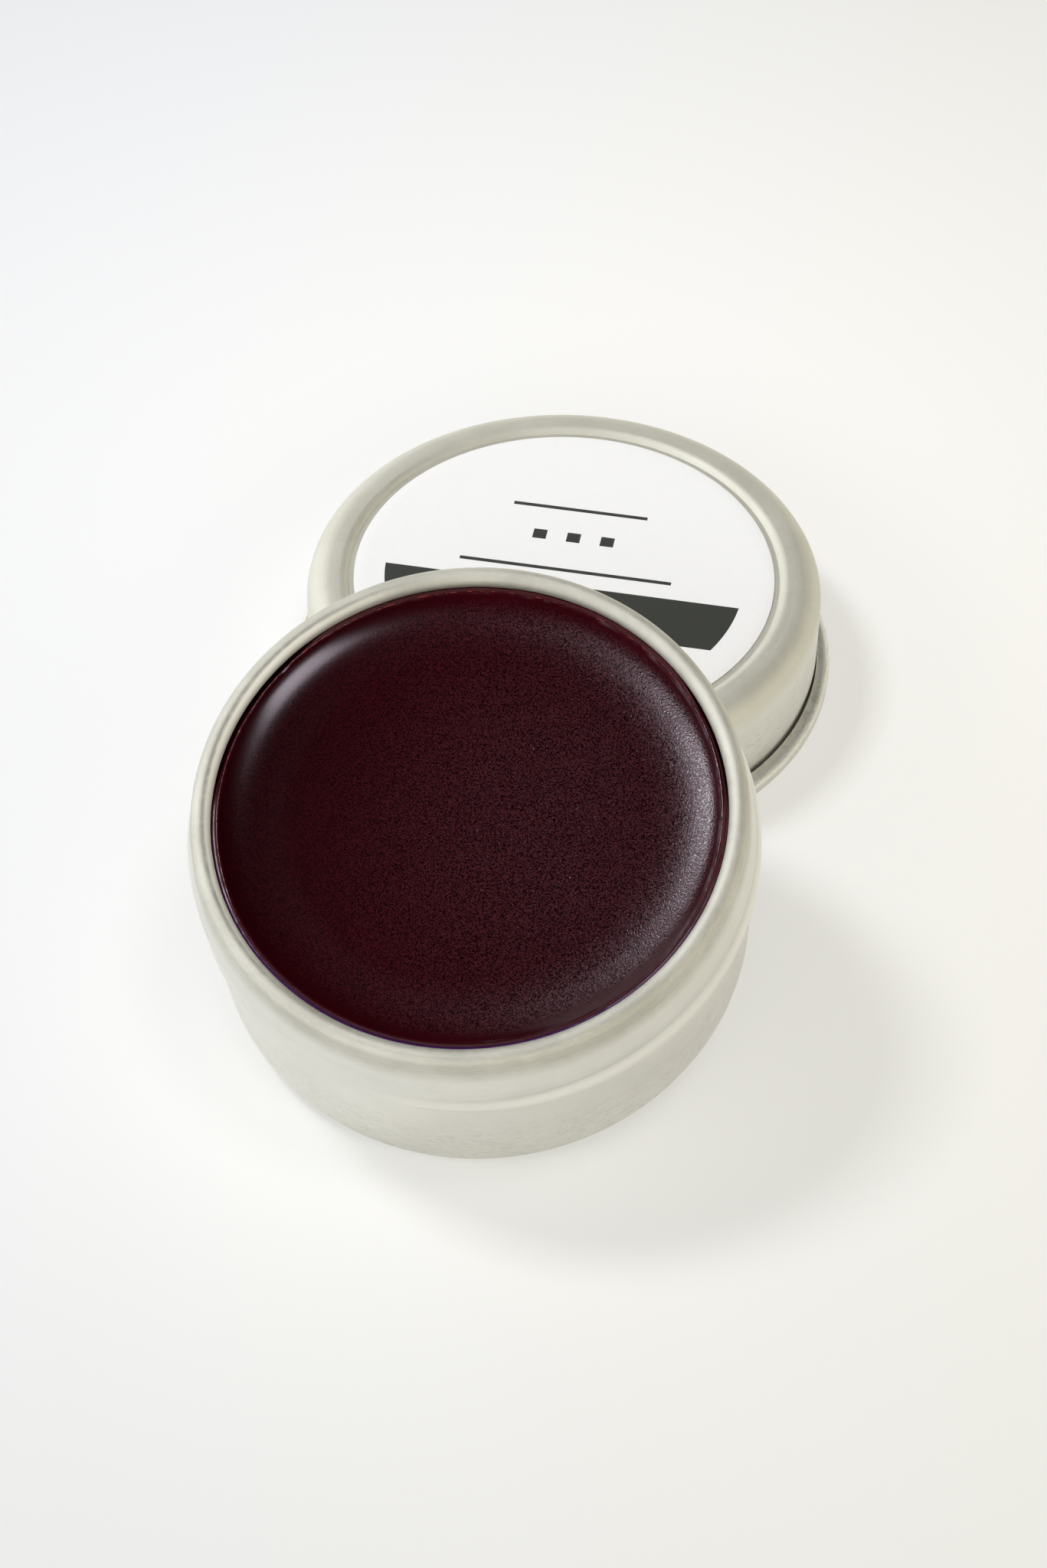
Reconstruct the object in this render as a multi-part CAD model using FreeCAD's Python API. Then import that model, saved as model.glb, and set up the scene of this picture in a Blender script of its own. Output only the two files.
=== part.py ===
import FreeCAD, Part
import math
import os

# Round screw-lid tin of solid shoe polish, open. All sizes in millimetres.
# The lid lies flat on the table, label up. The open tin leans on the lid's
# shoulder: its front foot edge is on the table and it is tilted towards -Y.
# Row frame: +Z up, +Y from the tin to the lid, origin at the middle of the
# footprint on the table.

V = FreeCAD.Vector

# ---- driving dimensions: the tin --------------------------------------------
SHEET = 0.4              # aluminium sheet of the tin and of the lid
TIN_HEIGHT = 28.6        # table to rim top, standing upright
BODY_R = 31.75           # outside of the body wall under the neck
NECK_STAND = 0.5         # the neck stands out this much from the body
RIM_TUCK = 0.85          # the rolled rim's outside is this much inside the neck's
RIM_ROLL = 2.3           # width of the rolled rim
NECK_EASE = 4.0          # long rounds where the neck draws in to the rim
NECK_DEPTH = 11.6        # rim top to the neck's lower edge
NECK_STEP_H = 0.45       # height of the step from the neck to the body
FOOT_ROUND = 1.2         # outside round of the foot
FOOT_RING_W = 2.6        # flat ring that the tin stands on
FLOOR_RISE = 0.5         # the middle of the underside is raised this much
BEND = 0.7               # small bends pressed in the sheet

# ---- driving dimensions: the thread -----------------------------------------
THREAD_LEAD = 2.6        # rise in one turn, right-hand
THREAD_DEPTH = 9.2       # rim top to the middle of the tin's thread at its start
THREAD_START = -20.0     # degrees from the front (-Y) towards +X
TIN_THREAD_TURNS = 0.9
TIN_THREAD_W = 3.4
TIN_THREAD_STAND = 0.4   # how far the tin's thread stands out from the neck
LID_THREAD_TURNS = 0.8
LID_THREAD_W = 1.4
THREAD_PLAY = 0.1        # between the two threads' flanks when closed
THREAD_CLEAR = 0.1       # lid thread to the neck
SKIRT_CLEAR = 0.55       # lid skirt to the tin's thread

# ---- driving dimensions: the polish -----------------------------------------
POLISH_DEPTH = 2.4       # rim top to the flat middle of the polish
POLISH_RISE = 1.1        # the edge climbs this much where it set against the rim
POLISH_EDGE_W = 5.4      # width of the climbing edge
POLISH_GAP = 0.1         # the set polish has shrunk this much from the metal

# ---- driving dimensions: the lid --------------------------------------------
LID_HEIGHT = 15.6
SHOULDER_ROUND = 3.2     # outside round of the lid's shoulder
SHOULDER_W = 5.3         # from the skirt's outside to the foot of the step round the sunk panel
PANEL_SINK = 0.6
HEM_W = 2.25             # width of the rolled hem, outward from the skirt's inside
HEM_ROUND = 0.75         # rounds beside the hem's flat underside
LABEL_MARGIN = 0.9       # bare panel round the label
LABEL_T = 0.15
LINER_T = 1.5
LINER_TOP_GAP = 0.2      # liner to the panel's inside
LINER_SIDE_GAP = 0.3     # liner to the inside of the shoulder

# ---- driving dimensions: how the two stand together -------------------------
TILT = 16.4              # degrees, the tin leans forward off the lid
LEAN_GAP = 0.3           # tin's underside to the lid's shoulder

# ---- values worked out from the above ----------------------------------------
WALL_CORE = 0.5 * SHEET
NECK_R = BODY_R + NECK_STAND
RIM_R = NECK_R - RIM_TUCK
THREAD_CREST_R = NECK_R + TIN_THREAD_STAND
SKIRT_IN_R = THREAD_CREST_R + SKIRT_CLEAR
SKIRT_R = SKIRT_IN_R + SHEET
HEM_R = SKIRT_IN_R + HEM_W
PANEL_R = SKIRT_R - SHOULDER_W
PANEL_TOP = LID_HEIGHT - PANEL_SINK
SHOULDER_R = SKIRT_R - SHOULDER_ROUND
SHOULDER_Z = LID_HEIGHT - SHOULDER_ROUND
LINER_TOP = PANEL_TOP - SHEET - LINER_TOP_GAP
LINER_BOTTOM = LINER_TOP - LINER_T
LINER_R = SHOULDER_R - LINER_SIDE_GAP + math.sqrt(
    (SHOULDER_ROUND - SHEET) ** 2 - max(LINER_TOP - SHOULDER_Z, 0) ** 2)
THREAD_Z = TIN_HEIGHT - THREAD_DEPTH
THREAD_TOP = THREAD_Z + THREAD_LEAD * TIN_THREAD_TURNS + 0.5 * TIN_THREAD_W
LID_THREAD_Z = LINER_BOTTOM - THREAD_DEPTH - 0.5 * (TIN_THREAD_W + LID_THREAD_W) - THREAD_PLAY


# ---- outlines: (radius, height, corner round) in the XZ plane ----------------
def corner(before, point, after):
    """Tangent points and mid point of the round at one corner of an outline."""
    here = V(point[0], 0, point[1])
    to_a = V(before[0], 0, before[1]) - here
    to_b = V(after[0], 0, after[1]) - here
    to_a.normalize()
    to_b.normalize()
    half = 0.5 * to_a.getAngle(to_b)
    cut = point[2] / math.tan(half)
    middle = (to_a + to_b).normalize() * (point[2] / math.sin(half) - point[2])
    return here + to_a * cut, here + middle, here + to_b * cut


def outline_edges(points):
    """Straight runs joined by tangent arcs."""
    edges = []
    last = V(points[0][0], 0, points[0][1])
    for before, point, after in zip(points, points[1:], points[2:]):
        if point[2] > 0:
            start, middle, end = corner(before, point, after)
            if (start - last).Length > 1e-6:
                edges.append(Part.LineSegment(last, start).toShape())
            edges.append(Part.Arc(start, middle, end).toShape())
            last = end
        else:
            here = V(point[0], 0, point[1])
            edges.append(Part.LineSegment(last, here).toShape())
            last = here
    final = V(points[-1][0], 0, points[-1][1])
    if (final - last).Length > 1e-6:
        edges.append(Part.LineSegment(last, final).toShape())
    return edges


def shifted(points, distance):
    """The outline moved sideways to its left by a distance, with its rounds kept concentric."""
    runs = []
    for start, end in zip(points, points[1:]):
        length = math.hypot(end[0] - start[0], end[1] - start[1])
        runs.append(((end[0] - start[0]) / length, (end[1] - start[1]) / length))
    result = []
    for index, (radius, height, fillet) in enumerate(points):
        into = runs[max(index - 1, 0)]
        out = runs[min(index, len(runs) - 1)]
        left_in = (-into[1], into[0])
        left_out = (-out[1], out[0])
        share = 1 + left_in[0] * left_out[0] + left_in[1] * left_out[1]
        turn = into[0] * out[1] - into[1] * out[0]
        step_r = distance * (left_in[0] + left_out[0]) / share
        step_z = distance * (left_in[1] + left_out[1]) / share
        new_fillet = fillet - math.copysign(distance, turn) if fillet > 0 else 0
        result.append((radius + step_r, height + step_z, new_fillet))
    return result


def spun(edges):
    """A full turn about Z of a closed outline."""
    face = Part.Face(Part.Wire(Part.__sortEdges__(edges)))
    return face.revolve(V(0, 0, 0), V(0, 0, 1), 360)


def line(a, b):
    return Part.LineSegment(V(a[0], 0, a[1]), V(b[0], 0, b[1])).toShape()


def sheet_solid(points, thickness):
    """A spun shell: the outline is one side of the sheet, the other lies to its left."""
    other = shifted(points, thickness)
    edges = outline_edges(points) + outline_edges(other)
    edges.append(line(points[0], other[0]))
    edges.append(line(points[-1], other[-1]))
    return spun(edges)


def thread_rib(root_r, crest_r, width, start_z, turns):
    """A rolled thread: a bowed ridge along a right-hand helix, from its root to its crest."""
    low = V(root_r, 0, start_z - 0.5 * width)
    high = V(root_r, 0, start_z + 0.5 * width)
    top = V(crest_r, 0, start_z)
    section = Part.Wire([Part.Arc(low, top, high).toShape(), Part.LineSegment(high, low).toShape()])
    helix = Part.makeHelix(THREAD_LEAD, THREAD_LEAD * turns, root_r)
    helix.translate(V(0, 0, start_z))
    rib = Part.Wire(helix.Edges).makePipeShell([section], True, True)
    rib.rotate(V(0, 0, 0), V(0, 0, 1), THREAD_START - 90)
    return rib


# ---- sub-parts, each upright on its own axis with its lowest face at z = 0 ----
def tin_outline():
    """The outside of the tin, from the middle of its underside to the end of the rim's roll."""
    half_roll = 0.5 * RIM_ROLL
    neck_edge = TIN_HEIGHT - NECK_DEPTH
    rim_low = TIN_HEIGHT - RIM_ROLL
    ring_in = BODY_R - FOOT_ROUND - FOOT_RING_W
    return [
        (0, FLOOR_RISE, 0),
        (ring_in - 2 * FLOOR_RISE, FLOOR_RISE, BEND),
        (ring_in, 0, BEND + SHEET),
        (BODY_R, 0, FOOT_ROUND),
        (BODY_R, neck_edge - NECK_STEP_H, BEND),
        (NECK_R, neck_edge, BEND + SHEET),
        (NECK_R, THREAD_TOP, NECK_EASE),
        (RIM_R, rim_low, NECK_EASE),
        (RIM_R, TIN_HEIGHT, half_roll),
        (RIM_R - RIM_ROLL, TIN_HEIGHT, half_roll),
        (RIM_R - RIM_ROLL, rim_low, half_roll),
        (RIM_R - half_roll, rim_low, 0),
    ]


def tin_body():
    shell = sheet_solid(tin_outline(), SHEET)
    rib = thread_rib(NECK_R - WALL_CORE, THREAD_CREST_R, TIN_THREAD_W, THREAD_Z, TIN_THREAD_TURNS)
    return shell.fuse(rib)


def polish():
    """The cake of polish: fills the tin to under the rim and climbs a little at its edge."""
    wall = shifted(tin_outline()[:8], SHEET + POLISH_GAP)[:7]
    under_rim = TIN_HEIGHT - RIM_ROLL - POLISH_GAP
    neck_in = RIM_R - SHEET - 2 * POLISH_GAP
    edge_r = RIM_R - RIM_ROLL - POLISH_GAP
    flat_z = TIN_HEIGHT - POLISH_DEPTH
    flat_r = edge_r - POLISH_EDGE_W
    curve_r = (POLISH_EDGE_W ** 2 + POLISH_RISE ** 2) / (2 * POLISH_RISE)
    half_turn = 0.5 * math.asin(POLISH_EDGE_W / curve_r)
    middle = (flat_r + curve_r * math.sin(half_turn), flat_z + curve_r * (1 - math.cos(half_turn)))
    edges = outline_edges(wall + [(neck_in, under_rim, 0), (edge_r, under_rim, 0)])
    edges.append(line((edge_r, under_rim), (edge_r, flat_z + POLISH_RISE)))
    edges.append(Part.Arc(
        V(edge_r, 0, flat_z + POLISH_RISE), V(middle[0], 0, middle[1]), V(flat_r, 0, flat_z)).toShape())
    edges.append(line((flat_r, flat_z), (0, flat_z)))
    edges.append(line((0, flat_z), wall[0]))
    return spun(edges)


def lid_shell():
    """The lid's pressed cap: sunk panel, round shoulder, skirt, hem rolled outward."""
    inside = [
        (0, PANEL_TOP - SHEET, 0),
        (PANEL_R, PANEL_TOP - SHEET, BEND),
        (PANEL_R + PANEL_SINK, LID_HEIGHT - SHEET, BEND + SHEET),
        (SKIRT_IN_R, LID_HEIGHT - SHEET, SHOULDER_ROUND - SHEET),
        (SKIRT_IN_R, 0, HEM_ROUND),
        (HEM_R, 0, HEM_ROUND),
        (HEM_R, HEM_W, HEM_ROUND),
        (SKIRT_R + SHEET, HEM_W, 0),
    ]
    shell = sheet_solid(inside, SHEET)
    rib = thread_rib(
        SKIRT_IN_R + WALL_CORE, NECK_R + THREAD_CLEAR, LID_THREAD_W, LID_THREAD_Z, LID_THREAD_TURNS)
    return shell.fuse(rib)


def lid_label():
    return Part.makeCylinder(PANEL_R - LABEL_MARGIN, LABEL_T, V(0, 0, PANEL_TOP))


def lid_liner():
    return Part.makeCylinder(LINER_R, LINER_T, V(0, 0, LINER_BOTTOM))


# ---- placing ------------------------------------------------------------------
def leaning_tin():
    """Where the tin's own origin goes, with the front of its foot at height 0 and at y = 0."""
    tilt = math.radians(TILT)
    foot_r = BODY_R - FOOT_ROUND
    height = foot_r * math.sin(tilt) + FOOT_ROUND * (1 - math.cos(tilt))
    along = foot_r * math.cos(tilt) + FOOT_ROUND * math.sin(tilt)
    return along, height


def lid_distance():
    """How far behind the front foot the lid's axis is, for its shoulder to carry the tin."""
    tilt = math.radians(TILT)
    along, height = leaning_tin()
    underside = height * math.cos(tilt) - along * math.sin(tilt) + FLOOR_RISE
    reach = SHOULDER_Z * math.cos(tilt) + SHOULDER_ROUND + LEAN_GAP - underside
    return SHOULDER_R + reach / math.sin(tilt)


def footprint_middle():
    """Middle, along Y, of the box round the leaning tin and the lid."""
    tilt = math.radians(TILT)
    along, height = leaning_tin()
    roll = 0.5 * RIM_ROLL
    rim_front = along - (RIM_R - roll) * math.cos(tilt) - (TIN_HEIGHT - roll) * math.sin(tilt) - roll
    return 0.5 * (rim_front + lid_distance() + HEM_R)


def place(shape, tilt, y, z):
    shape.rotate(V(0, 0, 0), V(1, 0, 0), tilt)
    shape.translate(V(0, y, z))
    return shape


def build():
    along, height = leaning_tin()
    middle = footprint_middle()
    tin_place = (TILT, along - middle, height)
    lid_place = (0, lid_distance() - middle, 0)
    return {
        "tin_body": place(tin_body(), *tin_place),
        "polish": place(polish(), *tin_place),
        "lid_shell": place(lid_shell(), *lid_place),
        "lid_liner": place(lid_liner(), *lid_place),
        "lid_label": place(lid_label(), *lid_place),
    }


os.makedirs("parts", exist_ok=True)
for name, shape in build().items():
    shape.exportStep("parts/" + name + ".step")
    box = shape.BoundBox
    print(name, "solids", len(shape.Solids), "valid", shape.isValid(), "volume %.1f" % shape.Volume,
          "x %.2f %.2f y %.2f %.2f z %.2f %.2f" % (
              box.XMin, box.XMax, box.YMin, box.YMax, box.ZMin, box.ZMax))
print("lid axis at y %.3f" % (lid_distance() - footprint_middle()))
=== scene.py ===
"""A round screw-lid tin of dark shoe polish, open and leaning on its own lid."""
import math

import bmesh
import bpy
from mathutils import Matrix, Vector, noise


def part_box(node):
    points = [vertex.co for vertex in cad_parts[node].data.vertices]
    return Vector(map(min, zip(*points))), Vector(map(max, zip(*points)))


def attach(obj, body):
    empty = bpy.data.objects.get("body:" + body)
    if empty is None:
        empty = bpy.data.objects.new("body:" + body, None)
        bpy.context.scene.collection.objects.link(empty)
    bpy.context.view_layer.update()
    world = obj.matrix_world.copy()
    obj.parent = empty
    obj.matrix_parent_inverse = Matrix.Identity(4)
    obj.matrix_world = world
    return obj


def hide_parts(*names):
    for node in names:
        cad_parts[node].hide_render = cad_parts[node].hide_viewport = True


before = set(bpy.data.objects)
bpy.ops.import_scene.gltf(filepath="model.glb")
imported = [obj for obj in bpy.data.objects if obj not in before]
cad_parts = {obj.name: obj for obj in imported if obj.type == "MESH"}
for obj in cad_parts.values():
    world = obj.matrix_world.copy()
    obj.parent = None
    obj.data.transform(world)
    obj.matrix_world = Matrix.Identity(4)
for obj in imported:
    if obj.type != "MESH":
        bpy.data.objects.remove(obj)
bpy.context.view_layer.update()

MM = 0.001
TURN = 2 * math.pi

# ---- the tin, upright on its own axis, in metres -------------------------------------
SHEET = 0.4 * MM
TIN_HEIGHT = 28.6 * MM
BODY_R = 31.75 * MM
NECK_R = 32.25 * MM
RIM_R = 31.4 * MM
RIM_ROLL = 2.3 * MM
NECK_EASE = 4.0 * MM
NECK_EASE_DROP = 0.9 * MM       # the neck starts to ease in this far below the thread's top
NECK_DEPTH = 11.6 * MM
NECK_STEP_H = 0.45 * MM
FOOT_ROUND = 1.2 * MM
FOOT_RING_W = 2.6 * MM
FLOOR_RISE = 0.5 * MM
BEND = 0.7 * MM
TILT = math.radians(16.4)

# ---- the threads, right-hand; angles are from the front towards +X -------------------
THREAD_LEAD = 2.6 * MM
THREAD_START = math.radians(-20)
WALL_SLACK = 0.1 * MM           # what lies further in than this is not part of the wall
TIN_THREAD_DEPTH = 11.0 * MM    # rim top to the crest at its start
TIN_THREAD_TURN = 0.9 * TURN
TIN_THREAD_RISE = math.radians(90)
TIN_THREAD_END = math.radians(30)
TIN_THREAD_UPPER = 3.0 * MM     # long flank above the crest
TIN_THREAD_LOWER = 0.5 * MM     # short flank below it
TIN_THREAD_STAND = 0.65 * MM
LID_THREAD_TURN = 0.8 * TURN
LID_THREAD_FADE = math.radians(16)
LID_THREAD_FLANK = 1.2 * MM
LID_THREAD_SINK = 0.5 * MM
LID_THREAD_Z = 2.0 * MM

# ---- painted highlight and dark lines along the tin's thread, in heights above its crest ---
THREAD_HIGHLIGHT_LOW = -0.15 * MM
THREAD_HIGHLIGHT_LOW_EDGE = 0.3 * MM
THREAD_HIGHLIGHT_HIGH = 2.1 * MM
THREAD_HIGHLIGHT_HIGH_EDGE = 0.9 * MM
THREAD_DARK_LINES = ((2.5 * MM, 0.5 * MM), (-0.6 * MM, 0.45 * MM))    # middle and half width
THREAD_DARK_SHARE = 0.7
THREAD_PAINT_START = math.radians(50)   # it grows over this much of the thread's start

# ---- the polish; arcs are (middle, half width, soft end) in degrees from the front ---
POLISH_DEPTH = 2.5 * MM
POLISH_RISE = 1.24 * MM
POLISH_EDGE_W = 8.0 * MM
POLISH_EDGE_POWER = 3.0         # it climbs ever steeper to the lip
POLISH_GAP = 0.1 * MM
POLISH_SWELL = 0.03 * MM        # how uneven the whole top is
POLISH_SKIN = 0.05 * MM         # what lies deeper than this stays as it is spun
RIGHT_CLIMB = 0.16 * MM         # how much higher it climbs at the right
RIGHT_CLIMB_ARC = (105, 58, 35)
LIP_IN = 0.75 * MM              # crest of the lip, inward from the rim
LIP_DIP = 0.12 * MM             # how far it falls from its crest to the rim
LIP_RIPPLE = 0.03 * MM
LIP_WAVE = 0.05 * MM
LIP_BEAD = 0.07 * MM            # thin bead along the crest
LIP_BEAD_OUT = 0.06 * MM
LIP_BEAD_HALF = 0.14 * MM
LIP_FLAT_ARC = (0, 70, 30)      # round the front the lip has no crest of its own
LIP_OPEN = 0.8 * MM             # how deep the gap is where the lip came away
LIP_OPEN_ARCS = ((-108, 26, 12), (116, 20, 12))
LIP_FALL_STARTS = 0.15 * MM     # outward from the crest
EDGE_R = RIM_R - RIM_ROLL - POLISH_GAP
LIP_R = RIM_R - RIM_ROLL - LIP_IN
FLAT_R = EDGE_R - POLISH_EDGE_W
FLAT_Z = TIN_HEIGHT - POLISH_DEPTH

# ---- the lid, upright on its own axis ------------------------------------------------
LID_HEIGHT = 15.6 * MM
SHOULDER_ROUND = 3.2 * MM
SHOULDER_W = 5.3 * MM
PANEL_SINK = 0.6 * MM
SKIRT_R = 33.6 * MM
HEM_W = 2.25 * MM
HEM_ROUND = 0.75 * MM
LABEL_R = 27.4 * MM
LABEL_T = 0.15 * MM
LABEL_GLUE = 0.02 * MM          # between the label and the panel
LINER_R = 32.06 * MM
LINER_T = 1.5 * MM
LINER_ROUND = 0.25 * MM
LINER_BOTTOM = 12.9 * MM

# ---- the label's print, from its middle, in millimetres ------------------------------
BAND_Y = -6.5
BAND_HALF_H = 4.2
BAND_R = 23.4
RULES = ((0.6, 14.0), (12.5, 9.0))      # Y and half length
RULE_HALF_H = 0.3
SQUARES_X = (-4.5, 0, 4.5)
SQUARES_Y = 7.0
SQUARE_HALF = 0.9

# ---- where the metal and the polish change their finish, and where light is painted ---
TIN_TOP_BAND_H = 4.4 * MM           # the rim is duller and darker down to here, from the top
LID_TOP_BAND_H = 4.0 * MM           # and so is the lid's shoulder
TOP_BAND_BLEND = 2.0 * MM           # from plain to fully dull
RIM_DARK_LINE_R = RIM_R - 1.5 * MM      # a dark reflection line painted along the left of the rim's top
RIM_HIGHLIGHT_R = RIM_R - 1.8 * MM       # inside this the same stretch has a painted highlight
GRAIN_AND_SHEEN_MIDDLE = (19 * MM, 1 * MM, TIN_HEIGHT)    # the polish has its strongest grain and painted grey sheen here

SPIN_STEPS = 288
POLISH_SPIN_STEPS = 432
POLISH_RINGS = 36               # in its flat middle, and as many in its climbing edge


# ---- where the tin and the lid stand -------------------------------------------------
def tin_placement():
    """Upright tin to the leaning one, set on the front edge of its foot."""
    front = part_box("tin_body")[0].y
    roll = 0.5 * RIM_ROLL
    reach = (RIM_R - roll) * math.cos(TILT) + (TIN_HEIGHT - roll) * math.sin(TILT) + roll
    foot_r = BODY_R - FOOT_ROUND
    height = foot_r * math.sin(TILT) + FOOT_ROUND * (1 - math.cos(TILT))
    return Matrix.Translation((0, front + reach, height)) @ Matrix.Rotation(TILT, 4, "X")


def lid_placement():
    """Upright lid to where it lies flat, behind the tin."""
    low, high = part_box("lid_shell")
    return Matrix.Translation((0, 0.5 * (low.y + high.y), 0))


TIN = tin_placement()
LID = lid_placement()


# ---- outlines: (radius, height, corner round), spun about Z --------------------------
def corner_points(before, point, after, steps):
    """Points of the tangent arc that rounds one corner of an outline."""
    here = Vector(point[:2])
    to_a = (Vector(before[:2]) - here).normalized()
    to_b = (Vector(after[:2]) - here).normalized()
    half = 0.5 * to_a.angle(to_b)
    centre = here + (to_a + to_b).normalized() * (point[2] / math.sin(half))
    start = here + to_a * (point[2] / math.tan(half)) - centre
    end = here + to_b * (point[2] / math.tan(half)) - centre
    sweep = math.atan2(start.x * end.y - start.y * end.x, start.dot(end))
    turned = [Matrix.Rotation(sweep * k / steps, 2) @ start for k in range(steps + 1)]
    return [centre + p for p in turned]


def rounded(points, arc_steps=8, run=0.3 * MM, long_run=1.6 * MM, fine=(0, 0)):
    """The outline with round corners; its straight runs are cut short between the two fine heights."""
    path = [Vector(points[0][:2])]
    for before, point, after in zip(points, points[1:], points[2:]):
        if point[2] > 0:
            path += corner_points(before, point, after, arc_steps)
        else:
            path.append(Vector(point[:2]))
    path.append(Vector(points[-1][:2]))
    result = [path[0]]
    for target in path[1:]:
        start = result[-1].copy()
        gap = (target - start).length
        if gap < 1e-7:
            continue
        close = fine[0] <= 0.5 * (start.y + target.y) <= fine[1]
        pieces = max(1, round(gap / (run if close else long_run)))
        result += [start.lerp(target, (k + 1) / pieces) for k in range(pieces)]
    return result


def spun(path, steps=SPIN_STEPS):
    """A bmesh of the outline turned once round Z, its normals pointing out."""
    bm = bmesh.new()
    verts = [bm.verts.new((p.x, 0, p.y)) for p in path]
    edges = [bm.edges.new(pair) for pair in zip(verts, verts[1:])]
    bmesh.ops.spin(
        bm, geom=verts + edges, cent=(0, 0, 0), axis=(0, 0, 1), angle=TURN, steps=steps, use_merge=True)
    bmesh.ops.remove_doubles(bm, verts=bm.verts, dist=1e-6)
    bmesh.ops.recalc_face_normals(bm, faces=bm.faces)
    return bm


def finished(name, bm, place, material, body, node):
    """The bmesh as a smooth object in its place, riding on its body in place of a CAD node."""
    mesh = bpy.data.meshes.new(name)
    bmesh.ops.transform(bm, matrix=place, verts=bm.verts)
    for face in bm.faces:
        face.smooth = True
    bm.to_mesh(mesh)
    bm.free()
    mesh.materials.append(material)
    piece = bpy.data.objects.new(name, mesh)
    bpy.context.scene.collection.objects.link(piece)
    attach(piece, body)
    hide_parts(node)
    return piece


def give_wall(piece, side):
    """Thickens a spun sheet: side -1 is inward from its faces, 1 is outward."""
    wall = piece.modifiers.new("sheet", "SOLIDIFY")
    wall.thickness = SHEET
    wall.offset = side
    wall.use_even_offset = True


def front_angle(co):
    """Angle round the axis, from the front towards +X."""
    return math.atan2(co.x, -co.y)


def fade(value, width):
    """Rises softly from 0 to 1 as the value goes from 0 to the width."""
    share = min(max(value / width, 0), 1)
    return share * share * (3 - 2 * share)


def in_arc(angle, middle, half, edge):
    """1 within an arc round the axis, falling softly to 0 at its ends; the arc is in degrees."""
    return fade(math.radians(half) - abs(angle - math.radians(middle)), math.radians(edge))


def press_out(vert, distance):
    """Moves a vertex of a wall away from the axis."""
    grow = 1 + distance / math.hypot(vert.co.x, vert.co.y)
    vert.co.x *= grow
    vert.co.y *= grow


def roll_tin_thread(bm, crest_z):
    """Presses the tin's thread out of the neck: a long flank above its crest and a short one below.

    The attribute it sets is 1 where a highlight is painted on the upper flank and below 0 along the dark
    reflection lines painted beside it.
    """
    thread_paint = bm.verts.layers.float.new("thread_paint")
    for vert in bm.verts:
        along = (front_angle(vert.co) - THREAD_START) % TURN
        if math.hypot(vert.co.x, vert.co.y) < NECK_R - WALL_SLACK or along > TIN_THREAD_TURN:
            continue
        grown = fade(along, TIN_THREAD_RISE) * fade(TIN_THREAD_TURN - along, TIN_THREAD_END)
        above = vert.co.z - crest_z - THREAD_LEAD * along / TURN
        reach = TIN_THREAD_UPPER * (0.3 + 0.7 * grown) if above > 0 else TIN_THREAD_LOWER
        if abs(above) < reach:
            press_out(vert, TIN_THREAD_STAND * grown * fade(reach - abs(above), 0.8 * reach))
        # a highlight painted on the long upper flank, with painted dark reflection lines beside it
        bright = fade(above - THREAD_HIGHLIGHT_LOW, THREAD_HIGHLIGHT_LOW_EDGE) * fade(THREAD_HIGHLIGHT_HIGH - above, THREAD_HIGHLIGHT_HIGH_EDGE)
        dull_and_dark_line = max(0, *(1 - abs(above - middle) / half for middle, half in THREAD_DARK_LINES))
        vert[thread_paint] = fade(along, THREAD_PAINT_START) * (bright - THREAD_DARK_SHARE * dull_and_dark_line)


def roll_lid_thread(bm, skirt_r):
    """Presses the lid's thread into its skirt."""
    for vert in bm.verts:
        along = (front_angle(vert.co) - THREAD_START) % TURN
        off = (vert.co.z - LID_THREAD_Z - THREAD_LEAD * along / TURN) / LID_THREAD_FLANK
        inner = math.hypot(vert.co.x, vert.co.y) < skirt_r - WALL_SLACK
        if inner or abs(off) > 1 or along > LID_THREAD_TURN:
            continue
        grown = fade(along, LID_THREAD_FADE) * fade(LID_THREAD_TURN - along, LID_THREAD_FADE)
        press_out(vert, -LID_THREAD_SINK * grown * math.cos(0.5 * math.pi * off) ** 2)


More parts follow.
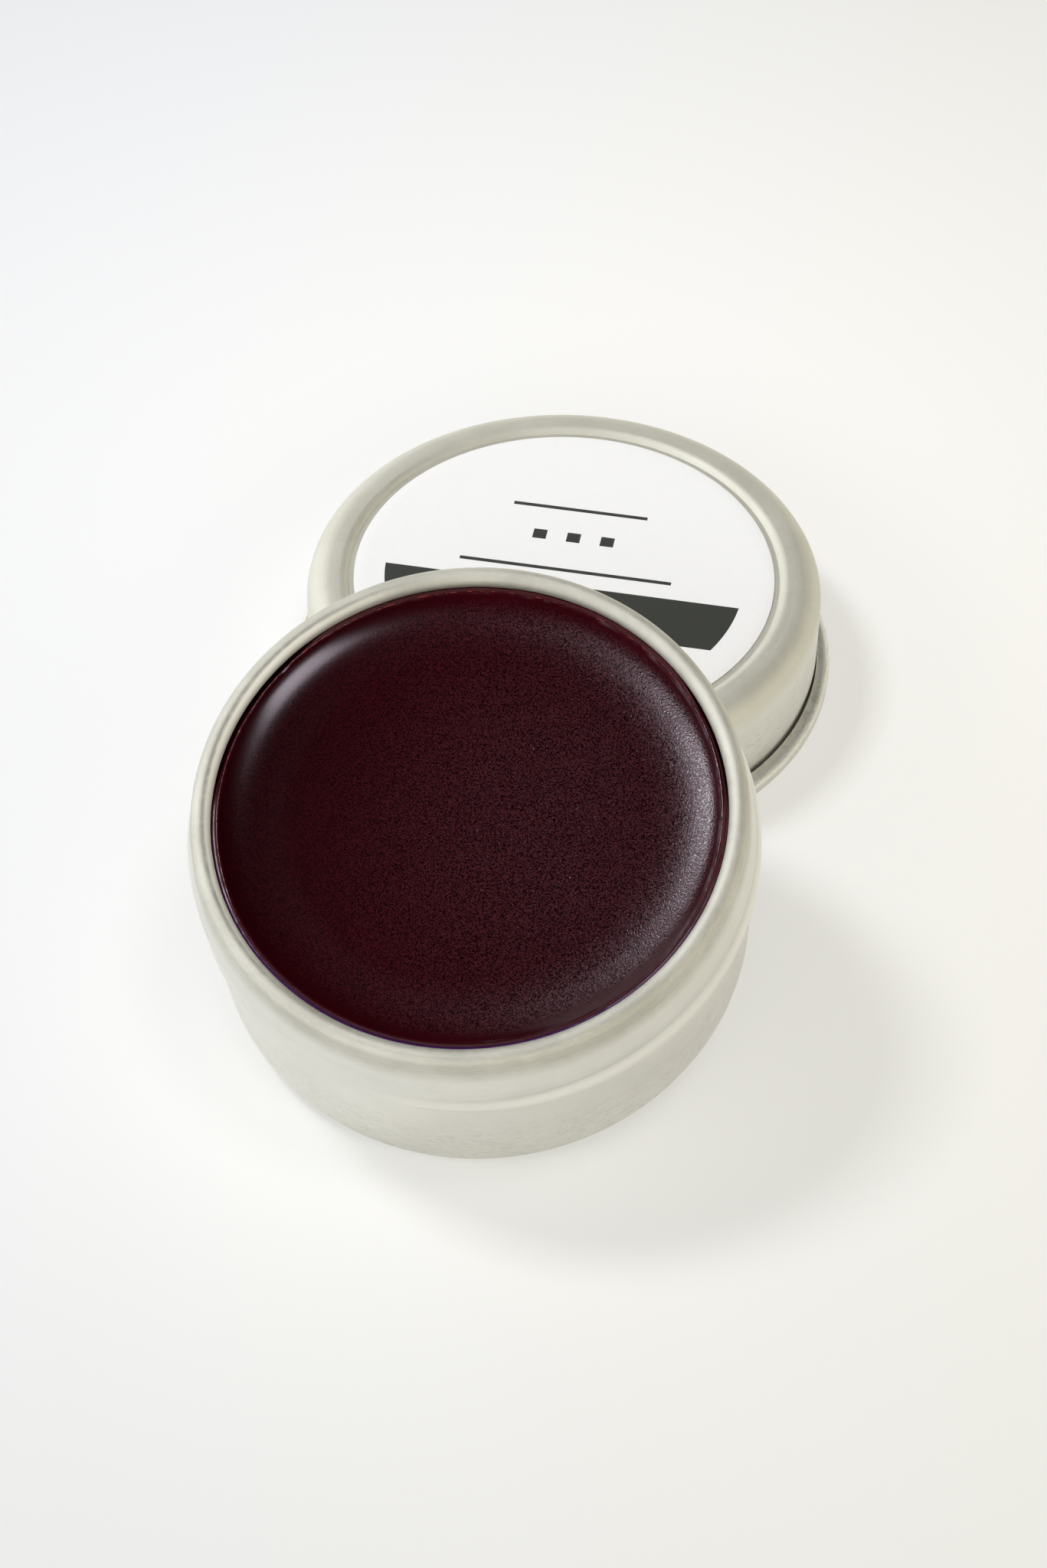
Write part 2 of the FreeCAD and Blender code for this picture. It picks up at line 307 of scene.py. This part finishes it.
# ---- material helpers ----------------------------------------------------------------
class Nodes:
    """Adds nodes to the tree of one material or world, and links them."""

    def __init__(self, owner, shader="Principled BSDF"):
        owner.use_nodes = True
        self.owner = owner
        self.tree = owner.node_tree
        self.shader = self.tree.nodes[shader]

    def add(self, kind, inputs=(), **settings):
        """A new node, with its settings made before its inputs are filled."""
        node = self.tree.nodes.new("ShaderNode" + kind)
        for key, value in settings.items():
            setattr(node, key, value)
        for key, value in dict(inputs).items():
            self.put(node.inputs[key], value)
        return node

    def put(self, socket, value):
        """Links a node's output to the socket, or writes a plain value on the socket itself."""
        if isinstance(value, bpy.types.NodeSocket):
            self.tree.links.new(value, socket)
        else:
            socket.default_value = value

    def shade(self, inputs):
        """Fills the shader's own sockets."""
        for key, value in inputs.items():
            self.put(self.shader.inputs[key], value)

    def math(self, operation, a, b=0.0):
        return self.add("Math", {0: a, 1: b}, operation=operation).outputs[0]

    def product(self, first, *others):
        for other in others:
            first = self.math("MULTIPLY", first, other)
        return first

    def off(self, value, middle):
        """How far the value is from the middle, to either side."""
        return self.math("ABSOLUTE", self.math("SUBTRACT", value, middle))

    def local(self, place):
        """Coordinates in a piece's own upright frame, in metres."""
        inputs = {
            "Vector": self.add("TexCoord").outputs["Object"],
            "Location": place.to_translation(),
            "Rotation": place.to_euler(),
        }
        return self.add("Mapping", inputs, vector_type="TEXTURE").outputs[0]

    def axes(self, vector):
        """The X, Y and Z of a vector."""
        return self.add("SeparateXYZ", {0: vector}).outputs

    def flat(self, local):
        """The coordinates with their height left out."""
        return self.add("VectorMath", {0: local, 1: (1, 1, 0)}, operation="MULTIPLY").outputs[0]

    def length(self, vector):
        return self.add("VectorMath", {0: vector}, operation="LENGTH").outputs["Value"]

    def distance(self, vector, point):
        return self.add("VectorMath", {0: vector, 1: point}, operation="DISTANCE").outputs["Value"]

    def towards(self, vector, way):
        """How far the vector goes the given way."""
        return self.add("VectorMath", {0: vector, 1: way}, operation="DOT_PRODUCT").outputs["Value"]

    def noise(self, vector, scale, detail=2.0, roughness=0.5, distortion=0.0):
        inputs = {
            "Vector": vector,
            "Scale": scale,
            "Detail": detail,
            "Roughness": roughness,
            "Distortion": distortion,
        }
        return self.add("TexNoise", inputs).outputs["Fac"]

    def ramp(self, value, low, high, to_low=0.0, to_high=1.0, kind="LINEAR"):
        inputs = {"Value": value, "From Min": low, "From Max": high, "To Min": to_low, "To Max": to_high}
        return self.add("MapRange", inputs, interpolation_type=kind).outputs[0]

    def mix(self, share, a, b):
        return self.add("Mix", {0: share, 6: a, 7: b}, data_type="RGBA").outputs[2]

    def bump(self, height, distance, strength=1.0, normal=None):
        node = self.add("Bump", {"Height": height, "Distance": distance, "Strength": strength})
        if normal is not None:
            self.put(node.inputs["Normal"], normal)
        return node.outputs[0]


def colour(red, green, blue):
    return (red, green, blue, 1)


# ---- materials -----------------------------------------------------------------------
def lathe_lines(nodes, direction, across, spread, fineness):
    """Coordinates that draw noise out round the axis into fine turned lines."""
    turned = nodes.add("VectorMath", {0: direction, "Scale": spread}, operation="SCALE").outputs[0]
    lift = nodes.add("CombineXYZ", {2: nodes.math("MULTIPLY", across, fineness)}).outputs[0]
    return nodes.add("VectorMath", {0: turned, 1: lift}, operation="ADD").outputs[0]


def aluminium(name, place, top_band_from, dark, pale, left_rim_painted):
    """Satin aluminium sheet: fine turned lines, oblique rubs, soft cloudiness.

    Above the height it is given it is duller and darker, in tones from dark to pale. Where its last
    argument is 1, the left of the rim carries a painted dark reflection line with a painted highlight band
    inside it; where 0, neither.
    """
    nodes = Nodes(bpy.data.materials.new(name))
    local = nodes.local(place)
    flat = nodes.flat(local)
    direction = nodes.add("VectorMath", {0: flat}, operation="NORMALIZE").outputs[0]
    radius = nodes.length(flat)
    sideways, _, height = nodes.axes(local)

    across = nodes.math("SUBTRACT", radius, height)
    lines = nodes.noise(lathe_lines(nodes, direction, across, 2.2, 5200), 1.0, 3.0, 0.6)
    broken = nodes.noise(lathe_lines(nodes, direction, across, 30, 3600), 1.0, 2.0, 0.55)
    streaks = nodes.math("ADD", nodes.math("MULTIPLY", lines, 0.5), nodes.math("MULTIPLY", broken, 0.5))
    cloudy = nodes.noise(local, 130, 3.0, 0.55)
    tone = nodes.math("ADD", nodes.math("MULTIPLY", streaks, 0.6), nodes.math("MULTIPLY", cloudy, 0.4))
    slanted = {"Vector": local, "Rotation": (0, math.radians(24), 0), "Scale": (700, 700, 4600)}
    rubs = nodes.noise(nodes.add("Mapping", slanted, vector_type="POINT").outputs[0], 1.0, 1.0, 0.5, 1.2)

    bare = nodes.mix(nodes.ramp(tone, 0.35, 0.65), colour(0.700, 0.692, 0.640), colour(0.770, 0.763, 0.712))
    # a duller, darker band at the top
    top_band = nodes.ramp(height, top_band_from, top_band_from + TOP_BAND_BLEND)
    tint = nodes.mix(top_band, bare, nodes.mix(nodes.ramp(tone, 0.42, 0.58), dark, pale))

    # painted light on the left of the rim's top: a highlight band inside a dark reflection line
    left = nodes.product(top_band, nodes.ramp(sideways, -12 * MM, -26 * MM), left_rim_painted)
    bright = nodes.product(nodes.ramp(radius, RIM_DARK_LINE_R, RIM_HIGHLIGHT_R, 0, 0.95), left)
    tint = nodes.mix(bright, tint, colour(0.95, 0.94, 0.89))
    painted_dark_reflection = nodes.ramp(nodes.off(radius, RIM_DARK_LINE_R), 0.30 * MM, 0.08 * MM)
    painted_dark_reflection = nodes.product(painted_dark_reflection, nodes.ramp(streaks, 0.38, 0.62, 0.75, 0.15), left)
    tint = nodes.mix(painted_dark_reflection, tint, colour(0.38, 0.37, 0.33))

    # the thread's painted highlight and painted dark reflection lines
    thread_paint = nodes.add("Attribute", attribute_name="thread_paint").outputs["Fac"]
    tint = nodes.mix(nodes.ramp(thread_paint, 0, 1, 0, 0.7), tint, colour(0.84, 0.83, 0.77))
    tint = nodes.mix(nodes.ramp(thread_paint, 0, -1, 0, 0.5), tint, colour(0.50, 0.49, 0.49))
    # painted contact shade along the lowest edge of the tin's foot and the lid's hem
    painted_contact_shade = nodes.ramp(height, 0.8 * MM, 0.2 * MM, 0, 0.55)
    tint = nodes.mix(painted_contact_shade, tint, colour(0.33, 0.32, 0.25))
    low = nodes.ramp(height, 13 * MM, 8 * MM)
    rubbed = nodes.product(nodes.ramp(rubs, 0.52, 0.70, 0, 0.42), low)
    tint = nodes.mix(rubbed, tint, colour(0.44, 0.43, 0.38))

    turned = nodes.bump(streaks, nodes.ramp(top_band, 0, 1, 0.010 * MM, 0.022 * MM), 0.7)
    satin = nodes.ramp(streaks, 0.3, 0.7, 0.46, 0.57)
    nodes.shade({
        "Base Color": tint,
        "Metallic": 1.0,
        "Roughness": nodes.math("ADD", satin, nodes.math("MULTIPLY", top_band, 0.16)),
        "Normal": nodes.bump(rubs, 0.04 * MM, nodes.ramp(low, 0, 1, 0.15, 1.0), turned),
    })
    return nodes.owner


def wax(name, place):
    """Burgundy black polish: grained right of its middle with a painted grey sheen there, redder, smoother
    and darker with painted shade at the left.

    Its lip is smooth, with glints painted as bright dots along the bead at the back, and a thin film beside
    the rim turns violet in front.
    """
    nodes = Nodes(bpy.data.materials.new(name))
    local = nodes.local(place)
    sideways, depth, _ = nodes.axes(local)
    radius = nodes.length(nodes.flat(local))
    away = nodes.distance(local, GRAIN_AND_SHEEN_MIDDLE)
    grain_and_sheen = nodes.ramp(away, 9 * MM, 44 * MM, 1.0, 0.12, "SMOOTHSTEP")
    inside = nodes.ramp(radius, LIP_R - 0.25 * MM, LIP_R - 1.95 * MM)
    edge = nodes.ramp(radius, FLAT_R - 1 * MM, FLAT_R + 4 * MM)
    crest = nodes.ramp(radius, LIP_R - 0.25 * MM, LIP_R + 0.05 * MM)
    film = nodes.ramp(radius, LIP_R + 0.31 * MM, LIP_R + 0.51 * MM)
    grain = nodes.noise(local, 5400, 0.6, 0.5, 0.5)
    pits = nodes.noise(local, 5600, 1.0, 0.5, 1.0)
    cloudy = nodes.noise(local, 110, 3.0, 0.5)

    clear = nodes.mix(
        nodes.ramp(cloudy, 0.3, 0.7), colour(0.019, 0.0004, 0.0016), colour(0.028, 0.0008, 0.0032))
    # the grey in these specks right of the middle is a painted sheen; the speck pattern is the polish's
    # grain
    specks_and_sheen = nodes.mix(grain_and_sheen, colour(0.040, 0.0010, 0.0034), colour(0.049, 0.0120, 0.0162))
    speckled = nodes.mix(nodes.ramp(pits, 0.44, 0.56), colour(0.006, 0.0002, 0.0007), specks_and_sheen)
    speckled_here = nodes.product(inside, nodes.ramp(away, 26 * MM, 56 * MM, 1.0, 0.5))
    # painted shade: the polish darkens towards the left
    shade = nodes.ramp(sideways, -30 * MM, -2 * MM, 0.55, 1.0, "SMOOTHSTEP")
    tint = nodes.mix(shade, colour(0, 0, 0), nodes.mix(speckled_here, clear, speckled))
    tint = nodes.mix(crest, tint, colour(0.034, 0.0006, 0.003))
    # painted glints: bright orange dots along the lip's bead at the back
    bead_glints = nodes.product(
        nodes.ramp(nodes.off(radius, LIP_R + 0.05 * MM), 0.08 * MM, 0.03 * MM),
        nodes.ramp(depth, -10 * MM, 2 * MM),
        nodes.ramp(nodes.noise(local, 1800, 1.0, 0.5), 0.53, 0.62))
    tint = nodes.mix(bead_glints, tint, colour(0.20, 0.026, 0.018))
    in_front = nodes.ramp(depth, -6 * MM, -24 * MM)
    film_tint = nodes.mix(in_front, colour(0.055, 0.0005, 0.006), colour(0.05, 0.003, 0.085))
    tint = nodes.mix(film, tint, film_tint)

    pitted = nodes.product(nodes.ramp(pits, 0.44, 0.58, 0.03, 0.25), grain_and_sheen)
    dull_and_dark_line = nodes.product(inside, edge, nodes.math("ADD", pitted, 0.055))
    grained = nodes.product(inside, grain_and_sheen, nodes.ramp(edge, 0, 1, 0.5, 0.6))
    nodes.shade({
        "Base Color": tint,
        "Roughness": nodes.math("ADD", nodes.ramp(crest, 0, 1, 0.13, 0.25), dull_and_dark_line),
        "Normal": nodes.bump(grain, 0.058 * MM, grained),
        "Specular Tint": colour(1.0, 0.92, 1.0),
        "IOR": 1.46,
    })
    return nodes.owner


def foam(name, place):
    """Pale closed-cell foam."""
    nodes = Nodes(bpy.data.materials.new(name))
    cells = nodes.add("TexVoronoi", {"Vector": nodes.local(place), "Scale": 2600.0}).outputs["Distance"]
    tint = nodes.mix(nodes.ramp(cells, 0.0, 0.6), colour(0.78, 0.78, 0.76), colour(0.9, 0.9, 0.88))
    nodes.shade({
        "Base Color": tint,
        "Normal": nodes.bump(cells, 0.05 * MM, 0.6),
        "Roughness": 0.8,
    })
    return nodes.owner


def paper(name, place):
    """White coated paper, printed with a plain charcoal band, two thin rules and three small squares."""
    nodes = Nodes(bpy.data.materials.new(name))
    local = nodes.local(place)
    sideways, depth, _ = nodes.axes(local)
    radius = nodes.length(nodes.flat(local))
    fibres = nodes.noise(local, 1500, 4.0, 0.6)

    def within(value, middle, half):
        """1 where the value is within half of the middle, with a crisp edge."""
        return nodes.math("LESS_THAN", nodes.off(value, middle * MM), half * MM)

    def bar(middle_x, half_x, middle_y, half_y):
        return nodes.product(within(sideways, middle_x, half_x), within(depth, middle_y, half_y))

    ink = nodes.product(within(depth, BAND_Y, BAND_HALF_H), nodes.math("LESS_THAN", radius, BAND_R * MM))
    for rule_y, half in RULES:
        ink = nodes.math("MAXIMUM", ink, bar(0, half, rule_y, RULE_HALF_H))
    for square_x in SQUARES_X:
        ink = nodes.math("MAXIMUM", ink, bar(square_x, SQUARE_HALF, SQUARES_Y, SQUARE_HALF))
    white = nodes.mix(fibres, colour(0.92, 0.92, 0.91), colour(0.96, 0.96, 0.95))
    nodes.shade({
        "Base Color": nodes.mix(ink, white, colour(0.040, 0.043, 0.037)),
        "Roughness": 0.38,
        "Normal": nodes.bump(fibres, 0.008 * MM, 0.5),
    })
    return nodes.owner


# ---- pieces --------------------------------------------------------------------------
def make_tin(material):
    """The tin's sheet: raised floor, foot, body, neck with its thread, rim rolled inward."""
    neck_edge = TIN_HEIGHT - NECK_DEPTH
    rim_low = TIN_HEIGHT - RIM_ROLL
    half_roll = 0.5 * RIM_ROLL
    ring_in = BODY_R - FOOT_ROUND - FOOT_RING_W
    crest_z = TIN_HEIGHT - TIN_THREAD_DEPTH
    thread_top = crest_z + THREAD_LEAD * TIN_THREAD_TURN / TURN + TIN_THREAD_UPPER
    path = rounded([
        (0, FLOOR_RISE, 0),
        (ring_in - 2 * FLOOR_RISE, FLOOR_RISE, BEND),
        (ring_in, 0, BEND + SHEET),
        (BODY_R, 0, FOOT_ROUND),
        (BODY_R, neck_edge - NECK_STEP_H, BEND),
        (NECK_R, neck_edge, 0.5 * BEND),
        (NECK_R, thread_top - NECK_EASE_DROP, NECK_EASE),
        (RIM_R, rim_low, NECK_EASE),
        (RIM_R, TIN_HEIGHT, half_roll),
        (RIM_R - RIM_ROLL, TIN_HEIGHT, half_roll),
        (RIM_R - RIM_ROLL, rim_low, half_roll),
        (RIM_R - half_roll, rim_low, 0),
    ], fine=(neck_edge, rim_low), run=0.2 * MM)
    bm = spun(path)
    roll_tin_thread(bm, crest_z)
    piece = finished("tin_sheet", bm, TIN, material, "tin", "tin_body")
    give_wall(piece, -1)


def polish_rise(co):
    """How far a point of the polish's top stands above its spun outline."""
    radius = math.hypot(co.x, co.y)
    angle = front_angle(co)
    ring = Vector((math.sin(angle), math.cos(angle), 0))
    flat_lip = in_arc(angle, *LIP_FLAT_ARC)
    climb = min(1, max(0, (radius - FLAT_R) / (LIP_R - FLAT_R))) ** POLISH_EDGE_POWER
    rise = noise.noise(co * 110) * POLISH_SWELL + RIGHT_CLIMB * climb * in_arc(angle, *RIGHT_CLIMB_ARC)
    near_lip = fade(radius - LIP_R + 0.2 * MM, 0.3 * MM)
    rise += near_lip * (noise.noise(ring * 38) * LIP_RIPPLE + noise.noise(ring * 9) * LIP_WAVE)
    bead = fade(LIP_BEAD_HALF - abs(radius - LIP_R - LIP_BEAD_OUT), LIP_BEAD_HALF)
    rise += LIP_BEAD * bead * (1 - flat_lip) * (0.6 + 1.2 * noise.noise(ring * 55))
    if radius > LIP_R + LIP_FALL_STARTS:
        rise += LIP_DIP * flat_lip - LIP_OPEN * max(in_arc(angle, *arc) for arc in LIP_OPEN_ARCS)
    return rise


def make_polish(material):
    """The cake of polish: its edge climbs to a thin wavy lip at the rim."""
    top = FLAT_Z + POLISH_RISE
    under_rim = TIN_HEIGHT - RIM_ROLL - POLISH_GAP
    low = FLOOR_RISE + 2 * SHEET
    inside_r = BODY_R - 2 * SHEET
    path = [Vector((FLAT_R * k / POLISH_RINGS, FLAT_Z)) for k in range(POLISH_RINGS + 1)]
    for k in range(1, POLISH_RINGS + 1):
        share = k / POLISH_RINGS
        climb = POLISH_RISE * share ** POLISH_EDGE_POWER
        path.append(Vector((FLAT_R + (LIP_R - FLAT_R) * share, FLAT_Z + climb)))
    path += [Vector(point) for point in (
        (LIP_R + 0.05 * MM, top),
        (LIP_R + 0.10 * MM, top),
        (LIP_R + 0.15 * MM, top - 0.01 * MM),
        (LIP_R + 0.20 * MM, top - 0.03 * MM),
        (LIP_R + 0.26 * MM, top - 0.07 * MM),
        (LIP_R + 0.33 * MM, top - LIP_DIP),
        (LIP_R + 0.45 * MM, top - LIP_DIP - 0.02 * MM),
        (EDGE_R, top - LIP_DIP),
        (EDGE_R, under_rim),
        (inside_r, under_rim - POLISH_GAP),
        (inside_r, low),
        (0, low),
    )]
    bm = spun(path, POLISH_SPIN_STEPS)
    for vert in bm.verts:
        if vert.co.z >= FLAT_Z - POLISH_SKIN:
            vert.co.z += polish_rise(vert.co)
    finished("polish_cake", bm, TIN, material, "tin", "polish")


def make_lid(material):
    """The lid's sheet: sunk panel, round shoulder, skirt with its thread, hem rolled outward."""
    panel_top = LID_HEIGHT - PANEL_SINK
    panel_r = SKIRT_R - SHOULDER_W
    skirt_in = SKIRT_R - SHEET
    hem_r = skirt_in + HEM_W
    path = rounded([
        (0, panel_top - SHEET, 0),
        (panel_r, panel_top - SHEET, BEND),
        (panel_r + PANEL_SINK, LID_HEIGHT - SHEET, BEND + SHEET),
        (skirt_in, LID_HEIGHT - SHEET, SHOULDER_ROUND - SHEET),
        (skirt_in, 0, HEM_ROUND),
        (hem_r, 0, HEM_ROUND),
        (hem_r, HEM_W, HEM_ROUND),
        (SKIRT_R + SHEET, HEM_W, 0),
    ], fine=(0, LID_THREAD_Z + THREAD_LEAD + LID_THREAD_FLANK))
    bm = spun(path)
    roll_lid_thread(bm, skirt_in)
    piece = finished("lid_sheet", bm, LID, material, "lid", "lid_shell")
    give_wall(piece, 1)


def make_label(material):
    """The paper label on the lid's panel."""
    panel_top = LID_HEIGHT - PANEL_SINK
    path = rounded([
        (0, panel_top + LABEL_T, 0),
        (LABEL_R, panel_top + LABEL_T, 0.3 * LABEL_T),
        (LABEL_R, panel_top + LABEL_GLUE, 0),
        (0, panel_top + LABEL_GLUE, 0),
    ], arc_steps=3)
    finished("lid_paper_label", spun(path), LID, material, "lid", "lid_label")


def make_liner(material):
    """The foam disc inside the lid."""
    path = rounded([
        (0, LINER_BOTTOM, 0),
        (LINER_R, LINER_BOTTOM, LINER_ROUND),
        (LINER_R, LINER_BOTTOM + LINER_T, LINER_ROUND),
        (0, LINER_BOTTOM + LINER_T, 0),
    ], arc_steps=4)
    finished("lid_foam_liner", spun(path), LID, material, "liner", "lid_liner")


# ---- floor, light and camera ---------------------------------------------------------
def make_floor():
    """Near white table, with painted light: palest round the object and warmer towards the right.

    Seen straight it is half lit and half a plain tone, and far off it turns plain white.
    """
    bm = bmesh.new()
    bmesh.ops.create_grid(bm, x_segments=1, y_segments=1, size=3.0)
    mesh = bpy.data.meshes.new("floor")
    bm.to_mesh(mesh)
    bm.free()
    nodes = Nodes(bpy.data.materials.new("floor_white"))
    here = nodes.add("TexCoord").outputs["Object"]
    away = nodes.distance(here, (0, 40 * MM, 0))
    far_off = nodes.ramp(away, 0.35, 1.2)
    # painted light: the floor warms to the right and dims away from the object
    painted_warm_light = nodes.ramp(nodes.axes(here)[0], -80 * MM, 100 * MM)
    near = nodes.mix(painted_warm_light, colour(0.94, 0.945, 0.95), colour(0.955, 0.937, 0.872))
    far = nodes.mix(painted_warm_light, colour(0.80, 0.81, 0.83), colour(0.81, 0.80, 0.74))
    pale = nodes.mix(nodes.ramp(away, 60 * MM, 180 * MM), near, far)
    nodes.shade({"Base Color": pale, "Roughness": 0.9, "Specular IOR Level": 0.1})

    rays = nodes.add("LightPath").outputs
    plain_white = nodes.product(far_off, rays["Is Camera Ray"])
    plain = nodes.add("Emission", {"Color": nodes.mix(plain_white, pale, colour(1, 1, 1))}).outputs[0]
    seen = nodes.product(rays["Is Camera Ray"], nodes.ramp(far_off, 0, 1, 0.5, 1.0))
    mirrored = nodes.product(rays["Is Glossy Ray"], 0.4)
    blend = {0: nodes.math("ADD", seen, mirrored), 1: nodes.shader.outputs[0], 2: plain}
    surface = nodes.tree.nodes["Material Output"].inputs["Surface"]
    nodes.put(surface, nodes.add("MixShader", blend).outputs[0])
    mesh.materials.append(nodes.owner)
    floor = bpy.data.objects.new("floor", mesh)
    floor.location.z = -0.02 * MM
    bpy.context.scene.collection.objects.link(floor)


def area_light(name, place, size, radiance, tint):
    """A rectangular lamp that faces the object and is as bright as the radiance says."""
    data = bpy.data.lights.new(name, "AREA")
    data.shape = "RECTANGLE"
    data.size, data.size_y = size
    data.energy = math.pi * size[0] * size[1] * radiance
    data.color = tint
    lamp = bpy.data.objects.new(name, data)
    lamp.location = place
    lamp.rotation_euler = (-Vector(place)).to_track_quat("-Z", "Y").to_euler()
    bpy.context.scene.collection.objects.link(lamp)


def make_room():
    """Pale walls, brightest and coolest at the left, under a ceiling that is nearly black."""
    world = bpy.data.worlds.new("room")
    bpy.context.scene.world = world
    nodes = Nodes(world, "Background")
    gaze = nodes.add("TexCoord").outputs["Generated"]
    level = nodes.ramp(nodes.towards(gaze, (0, 0.15, 1)), 0.45, 0.62, 1.5, 0.008)
    side = nodes.ramp(nodes.towards(gaze, (-0.8, -0.2, 0)), -1.0, 1.0, 0.82, 1.42)
    warm = nodes.ramp(nodes.axes(gaze)[0], -0.6, 0.8)
    nodes.shade({
        "Color": nodes.mix(warm, colour(0.96, 0.98, 1.0), colour(1.0, 0.95, 0.80)),
        "Strength": nodes.product(level, side),
    })


def make_light():
    """Two soft windows, high left and high right, and a faint glow at the back left."""
    make_room()
    area_light("left_window", (-0.845, 0.14, 1.36), (0.32, 0.40), 31.0, (0.97, 0.97, 1.0))
    area_light("left_glow", (-0.80, 0.88, 1.03), (0.6, 0.5), 0.7, (1.0, 0.95, 0.92))
    area_light("right_window", (0.430, -0.195, 1.56), (0.32, 0.40), 10.5, (0.98, 0.97, 1.0))


def make_camera():
    """Stands in front and above, a little to the right, with a medium long lens."""
    data = bpy.data.cameras.new("camera")
    data.sensor_width = 36
    data.lens = 70.3
    data.clip_start = 0.01
    camera = bpy.data.objects.new("camera", data)
    target = Vector((2.69, -14.51, 20.0)) * MM
    distance = 366.57 * MM
    azimuth, elevation, roll = math.radians(10.656), math.radians(46.658), math.radians(0.119)
    turn = Matrix.Rotation(azimuth, 4, "Z") @ Matrix.Rotation(0.5 * math.pi - elevation, 4, "X")
    place = Matrix.Translation(target) @ turn @ Matrix.Translation((0, 0, distance))
    camera.matrix_world = place @ Matrix.Rotation(roll, 4, "Z")
    bpy.context.scene.collection.objects.link(camera)
    bpy.context.scene.camera = camera


make_tin(aluminium(
    "tin_aluminium", TIN, top_band_from=TIN_HEIGHT - TIN_TOP_BAND_H,
    dark=colour(0.535, 0.525, 0.46), pale=colour(0.63, 0.62, 0.555), left_rim_painted=1))
make_polish(wax("polish_burgundy", TIN))
make_lid(aluminium(
    "lid_aluminium", LID, top_band_from=LID_HEIGHT - LID_TOP_BAND_H,
    dark=colour(0.64, 0.63, 0.55), pale=colour(0.69, 0.68, 0.605), left_rim_painted=0))
make_label(paper("label_paper", LID))
make_liner(foam("liner_foam", LID))
make_floor()
make_light()
make_camera()
bpy.context.scene.view_settings.view_transform = "Standard"
